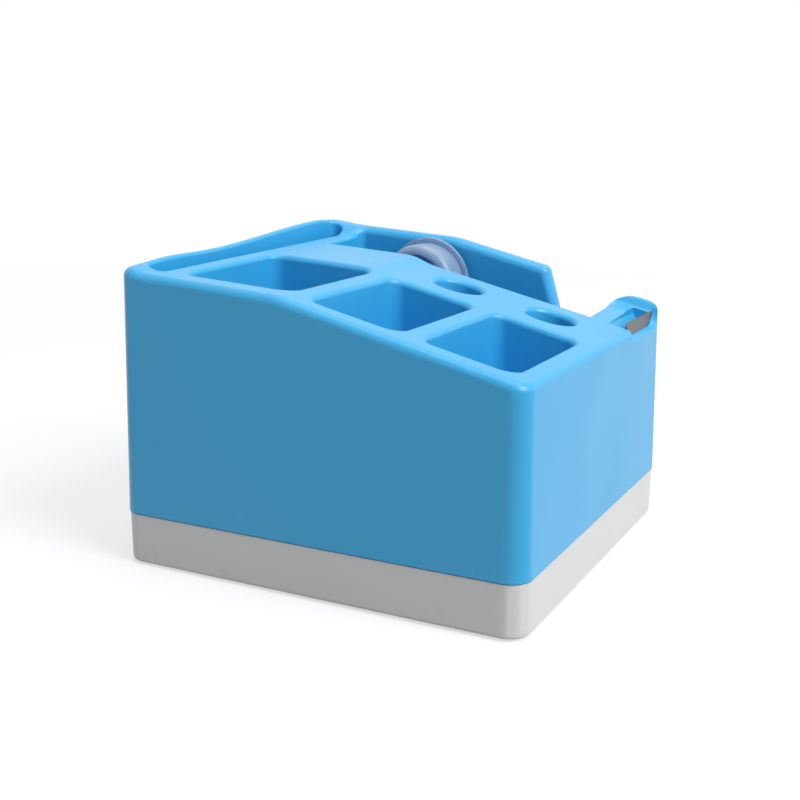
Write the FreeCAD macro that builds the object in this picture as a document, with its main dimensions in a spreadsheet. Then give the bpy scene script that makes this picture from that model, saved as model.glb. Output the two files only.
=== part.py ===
import FreeCAD, Part
import math
import os
import Sketcher
from FreeCAD import Vector

# A desk organizer with a tape dispenser bay and a sliding tray under its body.
# +X is the front, where the cutter is. +Y is the tape side. +Z is up.
# The origin is the centre of the footprint, on the surface that the feet stand on.

doc = FreeCAD.newDocument("TapeDispenserOrganizer")
sheet = doc.addObject("Spreadsheet::Sheet", "Sizes")

drivingSizes = [
    ("bodyLength", 120.0, "Body along X, at its lower edge"),
    ("bodyWidth", 116.8, "Body along Y, at its lower edge"),
    ("cornerRadius", 6.0, "Upright corners of body and tray"),
    ("bodyDraft", 1.2, "Degrees by which the body's sides lean in"),
    ("footDrop", 0.6, "Feet stand below the tray by this"),
    ("trayHeight", 14.1, "Tray, without its feet"),
    ("seamGap", 0.3, "Shadow gap between tray and body"),
    ("heightBack", 67.3, "Deck above the body's lower edge, at the back"),
    ("heightRidge", 63.8, "Deck above the body's lower edge, where its slope changes"),
    ("heightFront", 47.3, "Deck above the body's lower edge, at the front"),
    ("ridgeSetback", 69.5, "Body's front edge to the deck's change of slope"),
    ("rampMargin", 11.4, "Flat strip before the deck starts to rise across the body"),
    ("backDeckRise", 2.6, "Deck behind the ridge stands above its plane by this, at the far side"),
    ("frontDeckRise", 0.4, "The same, before the ridge"),
    ("deckFadeRun", 7.0, "Length over which the one becomes the other, at the ridge"),
    ("ribRise", 2.3, "Back rib stands above its plane by this, along the pockets"),
    ("ribFarRise", 6.8, "The same, beside the tape bay"),
    ("ribRampStart", 34.4, "Body's near edge to where the rib starts to climb"),
    ("ribRampEnd", 10.4, "Body's far edge to the end of that climb"),
    ("ribEndDrop", 1.5, "Fall of the rib's near end"),
    ("ribEndRun", 24.0, "Length of that fall"),
    ("farRise", 5.5, "Far wall stands above the deck's plane by this"),
    ("farCornerRise", 0.9, "Far wall's extra height at its back corner"),
    ("farCornerRun", 16.0, "Length over which that fades"),
    ("pedestalRise", 1.1, "Climb of the deck before the bay, from its near side to the ear"),
    ("earRise", 4.5, "Ear beside the cutter stands above the deck's plane by this"),
    ("earRun", 4.5, "Length over which the ear rises"),
    ("deckBlend", 3.0, "Half width over which the deck's changes are smoothed"),
    ("rimRadius", 2.5, "Outer top edge"),
    ("shellWall", 2.4, "Body's side walls"),
    ("deckWall", 2.6, "Body's deck"),
    ("innerWall", 2.0, "Walls round pockets and holes"),
    ("lipRadius", 1.7, "Edges of pockets and pen holes"),
    ("slotLip", 1.0, "Edge of the note slot"),
    ("backPocketMargin", 10.8, "Body's near edge to the back pocket"),
    ("pocketMargin", 8.8, "Body's near edge to the other pockets"),
    ("pocketGap", 30.6, "Pockets to the tape bay"),
    ("pocketStart", 16.0, "Body's back edge to the back pocket"),
    ("pocketEnd", 7.8, "Body's front edge to the front pocket"),
    ("pocketRadius", 4.3, "Upright corners of the pockets"),
    ("pocketFloor", 7.0, "Pocket floors above the body's lower edge"),
    ("backPocketLength", 33.6, "Back pocket along X"),
    ("frontPocketLength", 24.2, "Front pocket along X. The middle pocket takes what is left"),
    ("backDivider", 6.6, "Between the back and middle pockets"),
    ("frontDivider", 6.4, "Between the middle and front pockets"),
    ("slotMargin", 5.1, "Body's back edge to the note slot"),
    ("slotWidth", 5.4, "Note slot along X"),
    ("slotEndMargin", 8.9, "Body's near and far edges to the note slot"),
    ("slotFloor", 30.0, "Note slot's floor above the body's lower edge"),
    ("penRadius", 6.9, "Pen holes"),
    ("penFloor", 6.0, "Pen holes' floors above the body's lower edge"),
    ("backPenSetback", 50.3, "Body's front edge to the back pen hole's centre"),
    ("frontPenSetback", 21.6, "Body's front edge to the front pen hole's centre"),
    ("penGap", 14.9, "Pen holes' centres to the tape bay"),
    ("bayBack", 16.5, "Body's back edge to the tape bay"),
    ("bayFront", 15.0, "Body's front edge to the tape bay"),
    ("farWall", 7.8, "Body's far edge to the tape bay"),
    ("bayWidth", 22.8, "Tape bay along Y"),
    ("bayFloor", 25.0, "Bay's floor above the body's lower edge"),
    ("bayRadius", 2.5, "Upright corners of the bay"),
    ("bayNearLip", 1.2, "Bay's edge on its near side"),
    ("bayFarLip", 2.7, "Bay's edge on the far wall"),
    ("notchFloor", 35.0, "Floor of the gap in the far wall, above the body's lower edge"),
    ("notchLength", 14.3, "Notch along X, at its floor"),
    ("notchAngle", 74.0, "Degrees of that slanted end, from level"),
    ("notchRadius", 4.0, "Lower corners of the notch"),
    ("wallEndRadius", 2.4, "Rounded upper corner of the far wall's end"),
    ("axleRadius", 2.5, "Axle of the tape spool"),
    ("axleSetback", 26.9, "Bay's back face to the axle"),
    ("axleHeight", 55.0, "Axle above the body's lower edge"),
    ("axleFit", 0.1, "Clearance beside the axle in its saddles"),
    ("axleEndPlay", 0.15, "Clearance at each end of the axle"),
    ("saddleRadius", 5.2, "Saddles that carry the axle's ends, open at the top"),
    ("saddleDepth", 1.6, "Saddles along the axle"),
    ("spacerRadius", 4.0, "Spacer on the axle, from the near saddle to the hub"),
    ("spacerPlay", 0.3, "Spacer to the near saddle"),
    ("spoolPlay", 0.6, "Hub to spacer, and hub to the far saddle"),
    ("hubFit", 0.08, "Running clearance of the hub on its axle"),
    ("barrelRadius", 12.6, "Barrel, for a 25.4 mm tape core"),
    ("barrelWall", 3.1, "Barrel's wall"),
    ("hubLength", 10.4, "Hub along the axle"),
    ("noseRadius", 2.7, "Rounded near end of the barrel"),
    ("flangeRadius", 14.3, "Flange at the hub's far end"),
    ("flangeThickness", 1.2, "Flange and web"),
    ("hubBossRadius", 4.4, "Tube in the hub round the axle"),
    ("windowCount", 6, "Round windows in the web"),
    ("windowRadius", 1.7, "Those windows"),
    ("troughStart", 8.4, "Body's front edge to the cutter trough"),
    ("troughReach", 1.5, "Trough reaches nearer than the bay by this"),
    ("earThickness", 4.8, "Body's far edge to the trough"),
    ("troughDepth", 4.2, "Trough below the deck"),
    ("troughSlope", 3.0, "Run of the trough's sloped back"),
    ("bladeSetback", 3.4, "Body's front edge to the blade"),
    ("bladeThickness", 0.6, "Cutter blade"),
    ("bladeRoot", 4.0, "Blade below the trough floor"),
    ("bladeTop", 50.0, "Tips of the teeth above the body's lower edge"),
    ("bladeFit", 0.1, "Clearance round the blade in its slit"),
    ("toothPitch", 1.4, "Teeth along the blade"),
    ("toothDepth", 1.0, "Height of the teeth"),
    ("frontLipDrop", 2.3, "Front lip before the blade, below the deck"),
    ("frontLipSlope", 30.0, "Degrees by which that lip falls to the front"),
    ("frontLipRadius", 5.0, "Rounded corner where that lip meets the ear"),
    ("plateThickness", 2.0, "Base plate"),
    ("plateFit", 0.2, "Clearance round the base plate"),
    ("bossRadius", 3.4, "Screw bosses in the body"),
    ("bossInset", 7.2, "Screw bosses from the body's sides"),
    ("bossHeight", 30.0, "Screw bosses' tops above the body's lower edge"),
    ("screwRadius", 1.5, "Screw shanks"),
    ("screwHeadRadius", 2.8, "Screw heads"),
    ("screwHeadHeight", 1.3, "Screw heads"),
    ("screwLength", 10.0, "Whole screws"),
    ("screwFit", 0.05, "Clearance round the screws"),
    ("ballastLength", 64.0, "Ballast block along X"),
    ("ballastWidth", 22.0, "Ballast block along Y"),
    ("ballastHeight", 14.0, "Ballast block"),
    ("trayInset", 0.2, "Tray's top edge inside the body's sides"),
    ("trayDraft", 0.5, "Degrees by which the tray narrows downward"),
    ("trayWall", 2.4, "Tray's walls"),
    ("trayFloor", 2.0, "Tray's floor"),
    ("trayFillet", 1.0, "Tray's lower edge"),
    ("ledgeReach", 3.0, "Ledges on the tray's long walls"),
    ("ledgeThickness", 2.0, "Those ledges"),
    ("ledgeDrop", 2.2, "Tray's top edge to the ledges"),
    ("trayTravel", 45.0, "How far the tray pulls out"),
    ("stopGap", 0.3, "Runner to the tray's end walls, at both stops"),
    ("runnerGap", 0.3, "Runner to ledge and floor"),
    ("runnerWeb", 2.4, "Runner's upright web"),
    ("runnerHook", 2.4, "Runner's hook under the ledge, its reach"),
    ("runnerHookHeight", 2.2, "Runner's hook"),
    ("hookInset", 3.0, "Runner's ends to its hook"),
    ("pegRadius", 1.0, "Runner's pegs in the base plate"),
    ("pegFit", 0.05, "Clearance round the pegs"),
    ("pegInset", 12.0, "Pegs from the runner's ends"),
    ("footRadius", 5.0, "Feet"),
    ("footThickness", 1.6, "Feet"),
    ("footInset", 11.0, "Feet from the tray's sides"),
    ("footFit", 0.1, "Clearance round the feet in their seats"),
    ("edgeBreak", 0.4, "Small rounded edges"),
]

for row, (alias, number, note) in enumerate(drivingSizes, start=1):
    sheet.set(f"A{row}", note)
    sheet.set(f"B{row}", str(number))
    sheet.setAlias(f"B{row}", alias)
doc.recompute()

# Places that several pieces share, each written once.
bodyBottom = "(Sizes.footDrop + Sizes.trayHeight + Sizes.seamGap)"
skyLevel = f"({bodyBottom} + Sizes.heightBack + 20)"
bodyBackX = "(-Sizes.bodyLength / 2)"
bodyFrontX = "(Sizes.bodyLength / 2)"
bodyNearY = "(-Sizes.bodyWidth / 2)"
bodyFarY = "(Sizes.bodyWidth / 2)"
ridgeX = f"({bodyFrontX} - Sizes.ridgeSetback)"
bayBackX = f"({bodyBackX} + Sizes.bayBack)"
bayFrontX = f"({bodyFrontX} - Sizes.bayFront)"
bayFarY = f"({bodyFarY} - Sizes.farWall)"
bayNearY = f"({bayFarY} - Sizes.bayWidth)"
bayFloorZ = f"({bodyBottom} + Sizes.bayFloor)"
notchX = f"({bayFrontX} - Sizes.notchLength)"
notchFloorZ = f"({bodyBottom} + Sizes.notchFloor)"
backPocketY = f"({bodyNearY} + Sizes.backPocketMargin)"
pocketNearY = f"({bodyNearY} + Sizes.pocketMargin)"
pocketFarY = f"({bayNearY} - Sizes.pocketGap)"
backPocketX = f"({bodyBackX} + Sizes.pocketStart)"
middlePocketX = f"({backPocketX} + Sizes.backPocketLength + Sizes.backDivider)"
frontPocketX = f"({bodyFrontX} - Sizes.pocketEnd - Sizes.frontPocketLength)"
middlePocketLength = f"({frontPocketX} - Sizes.frontDivider - {middlePocketX})"
penY = f"({bayNearY} - Sizes.penGap)"
penShifts = [f"({bodyFrontX} - Sizes.backPenSetback)", f"({bodyFrontX} - Sizes.frontPenSetback)"]
slotBackX = f"({bodyBackX} + Sizes.slotMargin)"
slotLength = "(Sizes.bodyWidth - 2 * Sizes.slotEndMargin)"
slotMiddleX = f"({slotBackX} + Sizes.slotWidth / 2)"
axleX = f"({bayBackX} + Sizes.axleSetback)"
axleZ = f"({bodyBottom} + Sizes.axleHeight)"
troughNearY = f"({bayNearY} - Sizes.troughReach)"
troughX = f"({bodyFrontX} - Sizes.troughStart)"
troughFarY = f"({bodyFarY} - Sizes.earThickness)"
frontSlope = "((Sizes.heightRidge - Sizes.heightFront) / Sizes.ridgeSetback)"
troughDeckZ = f"({bodyBottom} + Sizes.heightFront + Sizes.bladeSetback * {frontSlope})"
troughFloorZ = f"({troughDeckZ} - Sizes.troughDepth)"
bladeX = f"({bodyFrontX} - Sizes.bladeSetback)"
plateTopZ = f"({bodyBottom} + Sizes.plateThickness)"
trayTopZ = "(Sizes.footDrop + Sizes.trayHeight)"
trayTopLength = "(Sizes.bodyLength - 2 * Sizes.trayInset)"
trayTopWidth = "(Sizes.bodyWidth - 2 * Sizes.trayInset)"
trayInnerLength = f"({trayTopLength} - 2 * Sizes.trayWall)"
trayInnerWidth = f"({trayTopWidth} - 2 * Sizes.trayWall)"
trayFloorZ = "(Sizes.footDrop + Sizes.trayFloor)"
ledgeTopZ = f"({trayTopZ} - Sizes.ledgeDrop)"
ledgeUnderZ = f"({ledgeTopZ} - Sizes.ledgeThickness)"
trayLean = "((Sizes.trayHeight - Sizes.trayFloor) * tan(Sizes.trayDraft))"
runnerEndX = f"({trayInnerLength} / 2 - {trayLean} - Sizes.stopGap)"
runnerLength = f"(2 * {runnerEndX} - Sizes.trayTravel)"
nearSaddleY = f"({bayNearY} + Sizes.saddleDepth)"
farSaddleY = f"({bayFarY} - Sizes.saddleDepth)"
hubFarY = f"({farSaddleY} - Sizes.spoolPlay)"
hubNearY = f"({hubFarY} - Sizes.hubLength)"


worked = {}


def value(expression):
    # An expression's number now. The sheet doesn't change while the part is being made.
    if expression not in worked:
        result = sheet.evalExpression(expression)
        worked[expression] = float(getattr(result, "Value", result))
    return worked[expression]


def bind(item, expressions):
    for field, expression in expressions.items():
        item.setExpression(field, expression)


def makeBody(name):
    body = doc.addObject("PartDesign::Body", name)
    body.Label = name
    return body


def makeSketch(body, name, role, x="0", y="0", level="0"):
    # A sketch on one of the body's own origin planes, shifted in the plane and along its normal.
    sketch = body.newObject("Sketcher::SketchObject", name)
    plane = [feature for feature in body.Origin.OriginFeatures if feature.Role == role][0]
    sketch.AttachmentSupport = [(plane, "")]
    sketch.MapMode = "FlatFace"
    bind(sketch, {
        "AttachmentOffset.Base.x": x,
        "AttachmentOffset.Base.y": y,
        "AttachmentOffset.Base.z": level,
    })
    return sketch


def drive(sketch, kind, *references):
    # The last reference is the expression that drives the constraint.
    expression = references[-1]
    constraint = Sketcher.Constraint(kind, *references[:-1], value(expression))
    index = sketch.addConstraint(constraint)
    sketch.setExpression(f"Constraints[{index}]", expression)


def roundedRectangle(sketch, length, width, radius):
    # Centred on the sketch's origin: four arcs, then the four lines between them.
    r = value(radius)
    halfX = value(length) / 2 - r
    halfY = value(width) / 2 - r
    centres = [(halfX, -halfY), (halfX, halfY), (-halfX, halfY), (-halfX, -halfY)]
    for quarter, (x, y) in enumerate(centres):
        start = math.radians(90 * quarter - 90)
        circle = Part.Circle(Vector(x, y, 0), Vector(0, 0, 1), r)
        sketch.addGeometry(Part.ArcOfCircle(circle, start, start + math.pi / 2))
    for quarter in range(4):
        following = (quarter + 1) % 4
        side = Part.LineSegment(sketch.getPoint(quarter, 2), sketch.getPoint(following, 1))
        sketch.addGeometry(side)
    for quarter in range(4):
        following = (quarter + 1) % 4
        sketch.addConstraint(Sketcher.Constraint("Tangent", quarter, 2, 4 + quarter, 1))
        sketch.addConstraint(Sketcher.Constraint("Tangent", 4 + quarter, 2, following, 1))
        direction = "Vertical" if quarter % 2 == 0 else "Horizontal"
        sketch.addConstraint(Sketcher.Constraint(direction, 4 + quarter))
    for quarter in (1, 2, 3):
        sketch.addConstraint(Sketcher.Constraint("Equal", 0, quarter))
    sketch.addConstraint(Sketcher.Constraint("Symmetric", 0, 3, 2, 3, -1, 1))
    drive(sketch, "Radius", 0, radius)
    drive(sketch, "DistanceX", 3, 3, 0, 3, f"{length} - 2 * {radius}")
    drive(sketch, "DistanceY", 0, 3, 1, 3, f"{width} - 2 * {radius}")


def polygon(sketch, corners):
    # A closed outline whose every corner is held by its two distances from the sketch's origin.
    points = [Vector(value(x), value(y), 0) for x, y in corners]
    first = sketch.GeometryCount
    for index, point in enumerate(points):
        following = points[(index + 1) % len(points)]
        sketch.addGeometry(Part.LineSegment(point, following))
    for index, (x, y) in enumerate(corners):
        line = first + index
        following = first + (index + 1) % len(corners)
        sketch.addConstraint(Sketcher.Constraint("Coincident", line, 2, following, 1))
        drive(sketch, "DistanceX", -1, 1, line, 1, x)
        drive(sketch, "DistanceY", -1, 1, line, 1, y)


def circle(sketch, radius, x="0", y="0"):
    index = sketch.addGeometry(
        Part.Circle(Vector(value(x), value(y), 0), Vector(0, 0, 1), value(radius)))
    drive(sketch, "Radius", index, radius)
    drive(sketch, "DistanceX", -1, 1, index, 3, x)
    drive(sketch, "DistanceY", -1, 1, index, 3, y)


def pad(body, sketch, length, name, reverse=False):
    feature = body.newObject("PartDesign::Pad", name)
    feature.Profile = sketch
    feature.Reversed = reverse
    bind(feature, {"Length": length})
    return feature


def pocket(body, sketch, length, name, reverse=False):
    feature = body.newObject("PartDesign::Pocket", name)
    feature.Profile = sketch
    feature.Reversed = reverse
    bind(feature, {"Length": length})
    return feature


def box(name, x, y, z, length, width, height):
    item = doc.addObject("Part::Box", name)
    bind(item, {
        "Length": length,
        "Width": width,
        "Height": height,
        "Placement.Base.x": x,
        "Placement.Base.y": y,
        "Placement.Base.z": z,
    })
    return item


def cylinder(name, x, y, z, radius, height):
    item = doc.addObject("Part::Cylinder", name)
    bind(item, {
        "Radius": radius,
        "Height": height,
        "Placement.Base.x": x,
        "Placement.Base.y": y,
        "Placement.Base.z": z,
    })
    return item


def cut(name, base, tools):
    if len(tools) > 1:
        tool = doc.addObject("Part::MultiFuse", name + "Tools")
        tool.Shapes = tools
    else:
        tool = tools[0]
    result = doc.addObject("Part::Cut", name)
    result.Base = base
    result.Tool = tool
    return result


def edgesWhere(shape, test):
    return [index for index, edge in enumerate(shape.Edges, start=1) if test(edge)]


def middle(edge):
    return edge.valueAt((edge.FirstParameter + edge.LastParameter) / 2)


def edgeNames(shape, test):
    return [f"Edge{index}" for index in edgesWhere(shape, test)]


# The deck: one smooth surface over the whole body.


def smoothStep(t):
    t = min(1.0, max(0.0, t))
    return t * t * (3 - 2 * t)


def deckHeight(x, y):
    # Two planes that meet at a ridge, with what rises from them.
    half = value("Sizes.bodyLength / 2")
    ridge = value(ridgeX)
    low = value(bodyBottom)
    back = value("Sizes.heightBack")
    top = value("Sizes.heightRidge")
    front = value("Sizes.heightFront")
    backPlane = back + (top - back) * (x + half) / (ridge + half)
    frontPlane = top + (front - top) * (x - ridge) / (half - ridge)
    return low + min(backPlane, frontPlane) + climbAt(x, y)


def climbAt(x, y):
    # The far wall's and ear's own heights take over from the deck's just before the bay's far face.
    wallBlend = value("2 * Sizes.deckBlend")
    share = smoothStep((y - value(bayFarY) + wallBlend) / wallBlend)
    deck = ribClimb(y) if x <= value(slotMiddleX) else deckClimb(x, y)
    return deck * (1 - share) + wallClimb(x) * share


def ribClimb(y):
    nearEdge = value(bodyNearY)
    start = nearEdge + value("Sizes.ribRampStart")
    run = value(f"{bodyFarY} - Sizes.ribRampEnd") - start
    low = value("Sizes.ribRise")
    climb = (value("Sizes.ribFarRise") - low) * smoothStep((y - start) / run)
    endRun = value("Sizes.ribEndRun")
    fall = value("Sizes.ribEndDrop") * smoothStep((nearEdge + endRun - y) / endRun)
    return low + climb - fall


def deckClimb(x, y):
    start = value(f"{bodyNearY} + Sizes.rampMargin")
    ramp = min(1.0, max(0.0, (y - start) / (value(bodyFarY) - start)))
    run = value("Sizes.deckFadeRun")
    faded = smoothStep((x - value(ridgeX) + run / 2) / run)
    back = value("Sizes.backDeckRise")
    rise = back + (value("Sizes.frontDeckRise") - back) * faded
    acrossBay = min(1.0, max(0.0, (y - value(bayNearY)) / value("Sizes.bayWidth")))
    beforeBay = value("Sizes.pedestalRise") * acrossBay if x > value(notchX) else 0.0
    return rise * ramp + beforeBay


def wallClimb(x):
    if x <= value(notchX):
        fade = smoothStep((x - value(bodyBackX)) / value("Sizes.farCornerRun"))
        return value("Sizes.farRise") + value("Sizes.farCornerRise") * (1 - fade)
    low = value("Sizes.frontDeckRise + Sizes.pedestalRise")
    ear = smoothStep((x - value(bayFrontX)) / value("Sizes.earRun"))
    return low + (value("Sizes.earRise") - low) * ear


def deckSurface(drop):
    # Evenly spaced rows of control points, which round every change of slope a little.
    reachX = value("Sizes.bodyLength / 2 + 2 * Sizes.cornerRadius")
    reachY = value("Sizes.bodyWidth / 2 + 2 * Sizes.cornerRadius")
    countX = round(2 * reachX / value("Sizes.deckBlend"))
    countY = round(2 * reachY / value("Sizes.deckBlend"))
    poles = []
    for row in range(countX + 1):
        x = -reachX + 2 * reachX * row / countX
        line = []
        for place in range(countY + 1):
            y = -reachY + 2 * reachY * place / countY
            line.append(Vector(x, y, deckHeight(x, y) - drop))
        poles.append(line)
    knots = [list(range(count - 1)) for count in (countX, countY)]
    repeats = [[4] + [1] * (count - 3) + [4] for count in (countX, countY)]
    surface = Part.BSplineSurface()
    surface.buildFromPolesMultsKnots(
        poles, repeats[0], repeats[1], knots[0], knots[1], False, False, 3, 3)
    return surface.toShape()


def aboveDeck(name, drop):
    # Everything above the deck, as a tool to cut with.
    item = doc.addObject("Part::Feature", name)
    item.Shape = deckSurface(drop).extrude(Vector(0, 0, value("Sizes.heightBack")))
    return item


# The body shell.


def taperedBlock(name, length, width, radius, bottom, height, taper):
    body = makeBody(name)
    outline = makeSketch(body, name + "Outline", "XY_Plane", level=bottom)
    roundedRectangle(outline, length, width, radius)
    block = pad(body, outline, height, name + "Pad")
    bind(block, {"TaperAngle": taper})
    return body


def wellTool(name, x, y, length, width, radius, floor):
    # A rounded prism from a floor up past the deck. x and y are its lower corner.
    body = makeBody(name)
    outline = makeSketch(
        body, name + "Outline", "XY_Plane",
        x=f"{x} + {length} / 2", y=f"{y} + {width} / 2", level=floor)
    roundedRectangle(outline, length, width, radius)
    pad(body, outline, f"{skyLevel} - {floor}", name + "Pad")
    return body


def notchTool():
    # The gap in the far wall: slanted end, level floor, upright front.
    body = makeBody("NotchTool")
    outline = makeSketch(body, "NotchOutline", "XZ_Plane", level=f"-({bodyFarY} + 5)")
    lean = f"(({skyLevel} - {notchFloorZ}) / tan(Sizes.notchAngle))"
    polygon(outline, [
        (f"{notchX} - {lean}", skyLevel),
        (notchX, notchFloorZ),
        (bayFrontX, notchFloorZ),
        (bayFrontX, skyLevel),
    ])
    pad(body, outline, f"{bodyFarY} + 5 - {bayNearY}", "NotchPad")
    doc.recompute()
    lowZ = value(notchFloorZ)
    corners = edgeNames(
        body.Shape, lambda edge: abs(edge.BoundBox.ZMin - lowZ) < 0.01
        and edge.BoundBox.ZLength < 0.01 and edge.BoundBox.YLength > 1)
    rounding = body.newObject("PartDesign::Fillet", "NotchCorners")
    rounding.Base = (body.Tip if body.Tip != rounding else body.Group[-2], corners)
    bind(rounding, {"Radius": "Sizes.notchRadius"})
    return body


def outerWallTest(shape):
    # True for the edges where the deck or the notch meets the body's drafted sides.
    draft = math.tan(math.radians(value("Sizes.bodyDraft")))
    half = value("Sizes.bodyLength / 2")
    halfWidth = value("Sizes.bodyWidth / 2")
    radius = value("Sizes.cornerRadius")
    low = value(bodyBottom)

    def onSide(point):
        lean = draft * (point.z - low)
        x = abs(point.x) - (half - radius)
        y = abs(point.y) - (halfWidth - radius)
        reach = math.hypot(x, y) if x > 0 and y > 0 else max(x, y)
        return abs(reach - (radius - lean)) < 0.05

    def test(edge):
        bounds = edge.BoundBox
        point = middle(edge)
        upright = bounds.ZLength > 30 and max(bounds.XLength, bounds.YLength) < 3
        return point.z > low + 20 and not upright and onSide(point)

    return test


def housingBlank():
    # The drafted block under the deck, with its notch and rounded rim.
    block = taperedBlock(
        "HousingBlock", "Sizes.bodyLength", "Sizes.bodyWidth", "Sizes.cornerRadius",
        bodyBottom, f"{skyLevel} - {bodyBottom}", "-Sizes.bodyDraft")
    topped = cut("HousingTopped", block, [aboveDeck("AboveDeck", 0.0)])
    notched = cut("HousingNotched", topped, [notchTool()])
    doc.recompute()

    body = makeBody("HousingRounded")
    body.BaseFeature = notched
    doc.recompute()
    endX = value(notchX)

    def wallEnd(edge):
        point = middle(edge)
        bounds = edge.BoundBox
        across = bounds.YLength > 3 and bounds.XLength < 4
        atEnd = 0 < endX - point.x < 20 and point.y > value(bayNearY)
        return across and atEnd and bounds.ZMin > value(notchFloorZ) + 5

    wallRounding = body.newObject("PartDesign::Fillet", "WallEndRounding")
    wallRounding.Base = (body.Group[0], edgeNames(body.Group[0].Shape, wallEnd))
    bind(wallRounding, {"Radius": "Sizes.wallEndRadius"})
    doc.recompute()
    rim = body.newObject("PartDesign::Fillet", "RimRounding")
    rim.Base = (wallRounding, edgeNames(wallRounding.Shape, outerWallTest(wallRounding.Shape)))
    bind(rim, {"Radius": "Sizes.rimRadius"})
    doc.recompute()
    return body


def wells():
    # Name, lower corner, size, corner radius and floor of each straight-sided well.
    pocketFloorZ = f"({bodyBottom} + Sizes.pocketFloor)"
    slotY = f"(-{slotLength} / 2)"
    slotFloorZ = f"({bodyBottom} + Sizes.slotFloor)"
    return [
        ("BackPocket", backPocketX, backPocketY, "Sizes.backPocketLength",
         f"({pocketFarY} - {backPocketY})", "Sizes.pocketRadius", pocketFloorZ),
        ("MiddlePocket", middlePocketX, pocketNearY, middlePocketLength,
         f"({pocketFarY} - {pocketNearY})", "Sizes.pocketRadius", pocketFloorZ),
        ("FrontPocket", frontPocketX, pocketNearY, "Sizes.frontPocketLength",
         f"({pocketFarY} - {pocketNearY})", "Sizes.pocketRadius", pocketFloorZ),
        ("NoteSlot", slotBackX, slotY, "Sizes.slotWidth",
         slotLength, "(Sizes.slotWidth / 2 - 0.1)", slotFloorZ),
    ]


def penHole(name, x, radius, floor):
    return cylinder(name, x, penY, floor, radius, f"{skyLevel} - {floor}")


def roundMouths(body, base, name, radius, chosen):
    # Rounds the edges of the deck's openings that the test chooses by their bounds.
    shape = base.Shape
    deck = max(
        [face for face in shape.Faces if isinstance(face.Surface, Part.BSplineSurface)],
        key=lambda face: face.Area)
    mouths = []
    for wire in deck.Wires:
        if not wire.isSame(deck.OuterWire) and chosen(wire.BoundBox):
            mouths += wire.Edges
    lips = body.newObject("PartDesign::Fillet", name)
    lips.Base = (base, edgeNames(shape, lambda edge: any(edge.isSame(mouth) for mouth in mouths)))
    bind(lips, {"Radius": radius})
    doc.recompute()
    return lips


def housingWells(blank):
    tools = [wellTool(*well) for well in wells()]
    floor = f"({bodyBottom} + Sizes.penFloor)"
    for number, x in enumerate(penShifts, start=1):
        tools.append(penHole(f"PenHole{number}", x, "Sizes.penRadius", floor))
    bored = cut("HousingBored", blank, tools)
    doc.recompute()
    body = makeBody("HousingLips")
    body.BaseFeature = bored
    doc.recompute()
    wellsStart = value(backPocketX) - value("Sizes.lipRadius")
    rounded = roundMouths(
        body, body.Group[0], "MouthRounding", "Sizes.lipRadius",
        lambda bounds: bounds.XMin > wellsStart)
    roundMouths(
        body, rounded, "SlotRounding", "Sizes.slotLip", lambda bounds: bounds.XMax < wellsStart)
    return body


def housingBay(base):
    # The bay's lip grows from the near side to the far wall, so each edge has its own two radii.
    bay = wellTool(
        "Bay", bayBackX, bayNearY, f"({bayFrontX} - {bayBackX})",
        "Sizes.bayWidth", "Sizes.bayRadius", bayFloorZ)
    opened = cut("HousingOpened", base, [bay])
    doc.recompute()
    near = value("Sizes.bayNearLip")
    far = value("Sizes.bayFarLip")
    nearY = value(bayNearY)
    farY = value(bayFarY)
    backX = value(bayBackX)
    frontX = value(bayFrontX)
    notchZ = value(notchFloorZ)
    deckZ = value(f"{bodyBottom} + Sizes.heightFront")

    def radiusAt(point):
        return near if point.y < (nearY + farY) / 2 else far

    lip = doc.addObject("Part::Fillet", "HousingBayLip")
    lip.Base = opened
    radii = []
    for index, edge in enumerate(opened.Shape.Edges, start=1):
        point = middle(edge)
        bounds = edge.BoundBox
        upright = bounds.XLength < 0.1 and bounds.YLength < 0.1
        inBay = backX - 1 < point.x < frontX + 1 and nearY - 0.1 < point.y < farY + 0.1
        if upright or not inBay or point.z < notchZ + 1:
            continue
        if abs(point.y - farY) < 0.05:
            radii.append((index, far, far))
        elif point.x < backX + 4:
            first = radiusAt(edge.Vertexes[0].Point)
            last = radiusAt(edge.Vertexes[-1].Point)
            radii.append((index, first, last))
        elif point.z > deckZ - 1:
            radii.append((index, near, near))
    lip.Edges = radii
    doc.recompute()
    return lip


def axleRound(name, radius, startY, endY):
    # A round bar along the axle's line.
    body = makeBody(name)
    outline = makeSketch(body, name + "Outline", "XZ_Plane", level=f"-({endY})")
    circle(outline, radius, axleX, axleZ)
    pad(body, outline, f"{endY} - {startY}", name + "Pad")
    return body


def saddles():
    # They stand on the bay's two faces, half a millimetre into the walls.
    near = axleRound("NearSaddle", "Sizes.saddleRadius", f"({bayNearY} - 0.5)", nearSaddleY)
    far = axleRound("FarSaddle", "Sizes.saddleRadius", farSaddleY, f"({bayFarY} + 0.5)")
    return [near, far]


def saddleGrooves():
    seat = "(Sizes.axleRadius + Sizes.axleFit)"
    rounded = axleRound("SaddleSeats", seat, bayNearY, bayFarY)
    opening = box(
        "SaddleOpenings", f"{axleX} - {seat}", bayNearY, axleZ, f"2 * {seat}", "Sizes.bayWidth",
        f"{skyLevel} - {axleZ}")
    return [rounded, opening]


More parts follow.
